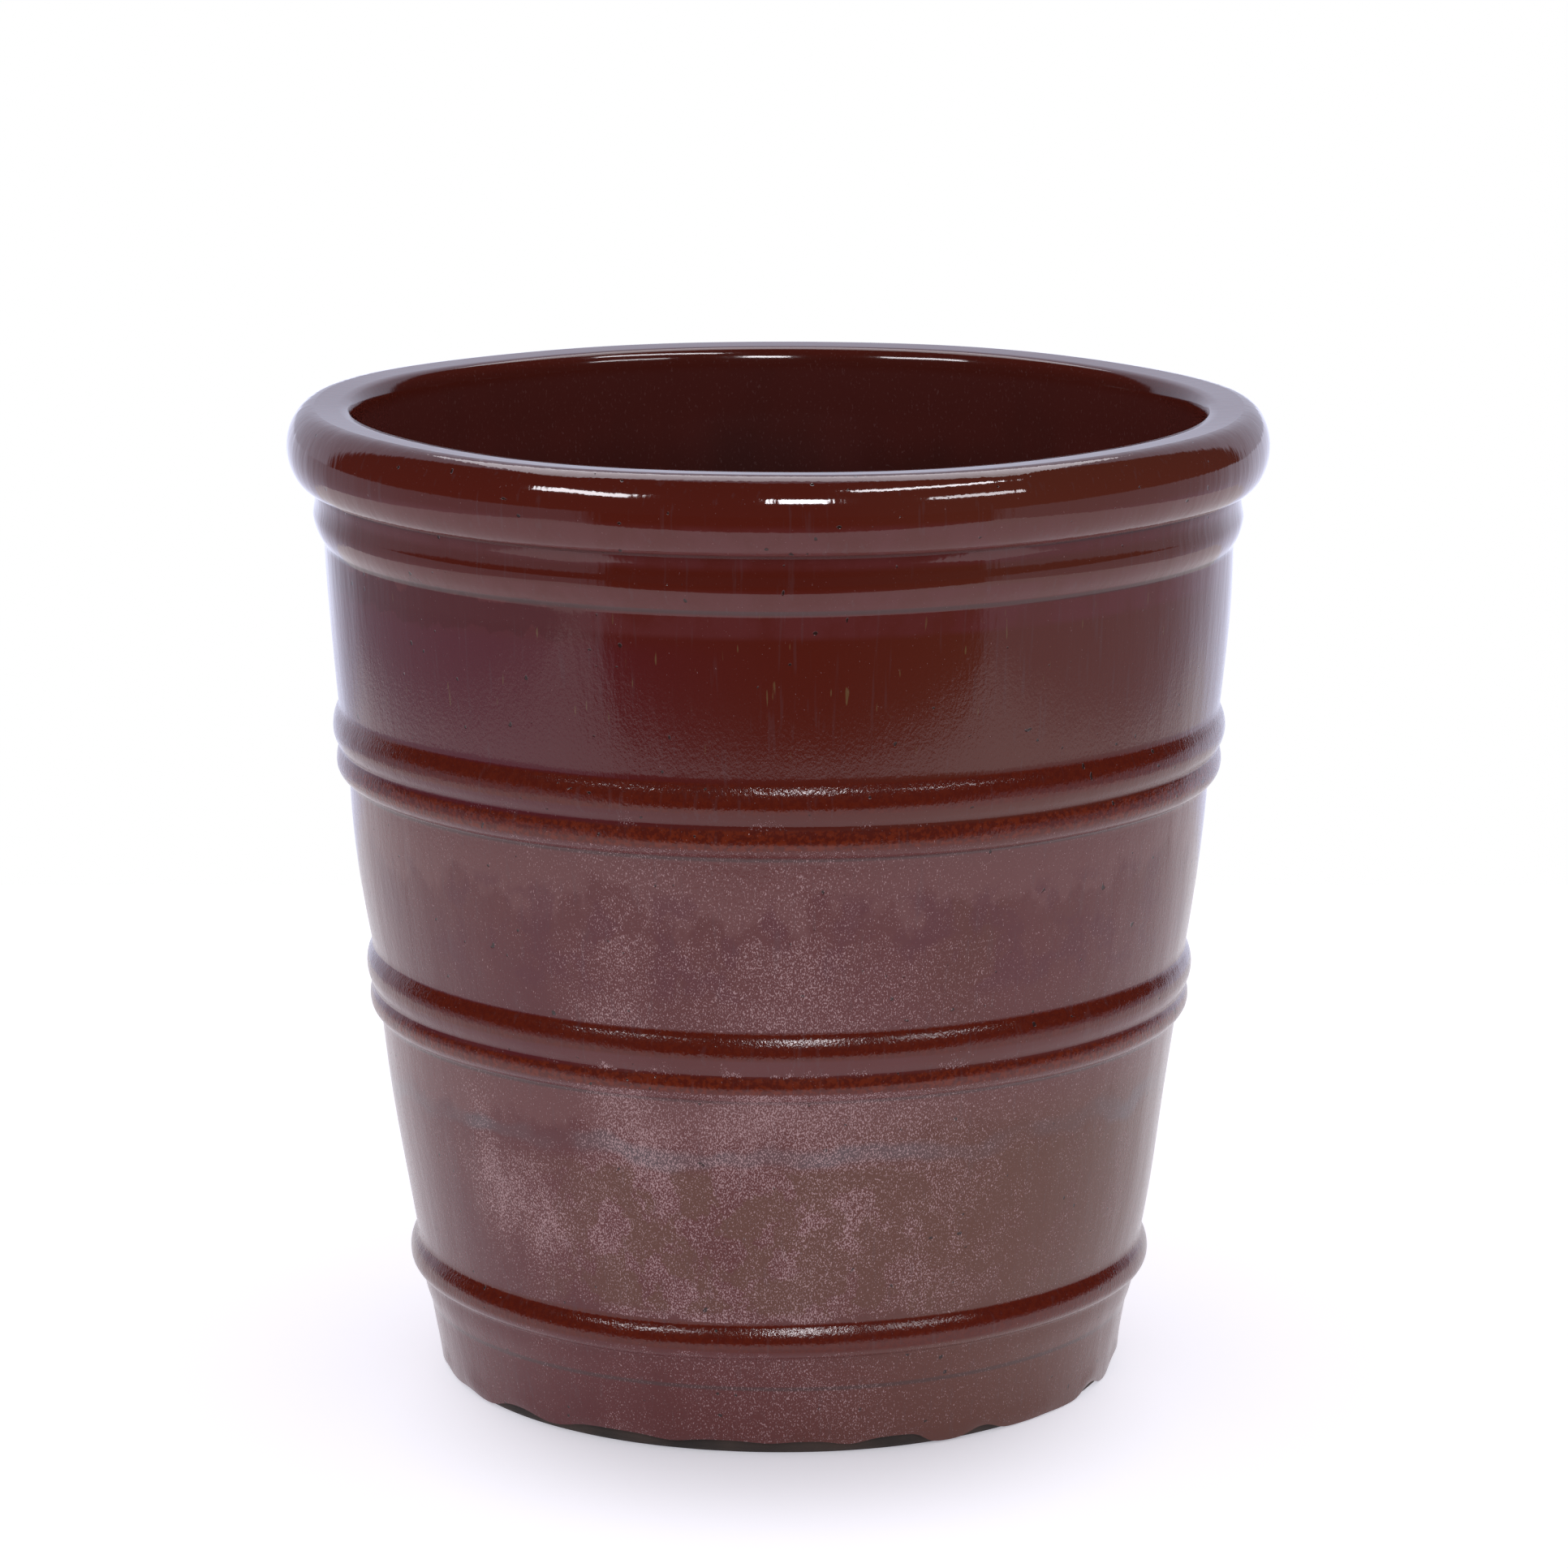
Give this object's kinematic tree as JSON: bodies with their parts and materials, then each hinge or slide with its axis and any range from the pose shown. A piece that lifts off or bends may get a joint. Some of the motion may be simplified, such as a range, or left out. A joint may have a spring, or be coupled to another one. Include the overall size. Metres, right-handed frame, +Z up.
{
  "type": "plant pot",
  "caption": "Large round glazed plant pot that flares upwards, with a rolled rim, a collar bead, raised coil bands around the wall and a drain hole.",
  "frame": {"origin": "centre of the standing face, on the ground", "axes": "+Z up along the pot's turning axis; X and Y are equal, -Y faces the viewer"},
  "size_m": [0.5001, 0.5002, 0.502],
  "materials": {
    "fired_clay": "matt, unglazed",
    "oxblood_glaze": "glossy reduction-red glaze with fine ripple"
  },
  "bodies": {
    "root": {"floor_slab": "fired_clay", "wall": "fired_clay", "rim_roll": "fired_clay", "collar_bead": "fired_clay", "lower_band_bottom": "fired_clay", "lower_band_top": "fired_clay", "middle_band_bottom": "fired_clay", "middle_band_top": "fired_clay", "upper_band_bottom": "fired_clay", "upper_band_top": "fired_clay", "outer_glaze": "oxblood_glaze", "inner_glaze": "oxblood_glaze"}
  },
  "joints": []
}
